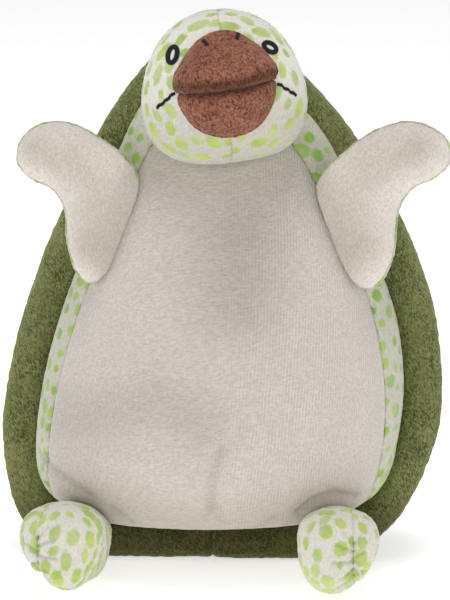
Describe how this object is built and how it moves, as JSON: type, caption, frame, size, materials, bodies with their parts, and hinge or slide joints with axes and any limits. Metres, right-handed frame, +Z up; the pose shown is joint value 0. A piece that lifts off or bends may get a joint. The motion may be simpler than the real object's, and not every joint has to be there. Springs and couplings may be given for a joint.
{
  "type": "plush turtle",
  "caption": "Stuffed turtle standing belly forward on its padded shell and feet, with a nodding head, flapping flippers and feet that lift.",
  "frame": {"origin": "middle of the toy's footprint, on the surface that it stands on", "axes": "+Z up, -Y the way the toy faces, +X the toy's own left side"},
  "size_m": [0.1584, 0.1092, 0.1996],
  "materials": {
    "shell_plush": "olive green short plush, crushed pile on the rim",
    "belly_plush": "cream plush with fine upright ribs",
    "spotted_plush": "white plush with printed green spots",
    "beak_plush": "brown short plush, crushed",
    "black_thread": "black embroidery thread, slight sheen",
    "white_thread": "white embroidery thread",
    "fibre_filling": "white polyester fibre",
    "bag_cloth": "plain undyed cloth bag of pellets"
  },
  "bodies": {
    "trunk": {"shell_panel_left": "shell_plush", "shell_panel_right": "shell_plush", "shell_padding": "fibre_filling", "belly_panel": "belly_plush", "side_panel_left": "spotted_plush", "side_panel_right": "spotted_plush", "back_panel": "spotted_plush", "body_stuffing": "fibre_filling", "pellet_bag": "bag_cloth"},
    "head": {"head_panel_left": "spotted_plush", "head_panel_right": "spotted_plush", "head_stuffing": "fibre_filling", "beak_upper": "beak_plush", "beak_lower": "beak_plush", "eye_ring_left": "black_thread", "eye_ring_right": "black_thread", "eye_spot_left": "white_thread", "eye_spot_right": "white_thread", "nostril_stitch_left": "black_thread", "nostril_stitch_right": "black_thread", "mouth_stitch_left": "black_thread", "mouth_stitch_right": "black_thread"},
    "flipper_left": {"flipper_left_front": "belly_plush", "flipper_left_back": "spotted_plush", "flipper_left_stuffing": "fibre_filling"},
    "flipper_right": {"flipper_right_front": "belly_plush", "flipper_right_back": "spotted_plush", "flipper_right_stuffing": "fibre_filling"},
    "foot_left": {"foot_left_outer": "spotted_plush", "foot_left_inner": "spotted_plush", "foot_left_stuffing": "fibre_filling"},
    "foot_right": {"foot_right_outer": "spotted_plush", "foot_right_inner": "spotted_plush", "foot_right_stuffing": "fibre_filling"}
  },
  "joints": [
    {"name": "head_nod", "type": "hinge", "parent": "trunk", "child": "head", "pos_m": [0.00392, -0.00131, 0.15], "axis": [1, 0, 0], "range_deg": [-8, 12], "stiffness_Nm_per_rad": 0.15},
    {"name": "flipper_left_flap", "type": "hinge", "parent": "trunk", "child": "flipper_left", "pos_m": [0.04818, -0.01699, 0.1055], "axis": [-0.4009, 0.1756, 0.8991], "range_deg": [-40, 6], "stiffness_Nm_per_rad": 0.04},
    {"name": "flipper_right_flap", "type": "hinge", "parent": "trunk", "child": "flipper_right", "pos_m": [-0.04222, -0.01699, 0.1055], "axis": [0.3592, 0.1789, 0.916], "range_deg": [-6, 40], "stiffness_Nm_per_rad": 0.04},
    {"name": "foot_left_lift", "type": "hinge", "parent": "trunk", "child": "foot_left", "pos_m": [0.04121, -0.01863, 0.0156], "axis": [0.9976, 0.0698, 0], "range_deg": [-25, 0], "stiffness_Nm_per_rad": 0.2},
    {"name": "foot_right_lift", "type": "hinge", "parent": "trunk", "child": "foot_right", "pos_m": [-0.04779, -0.01863, 0.0156], "axis": [0.9781, -0.2079, 0], "range_deg": [-25, 0], "stiffness_Nm_per_rad": 0.2}
  ]
}
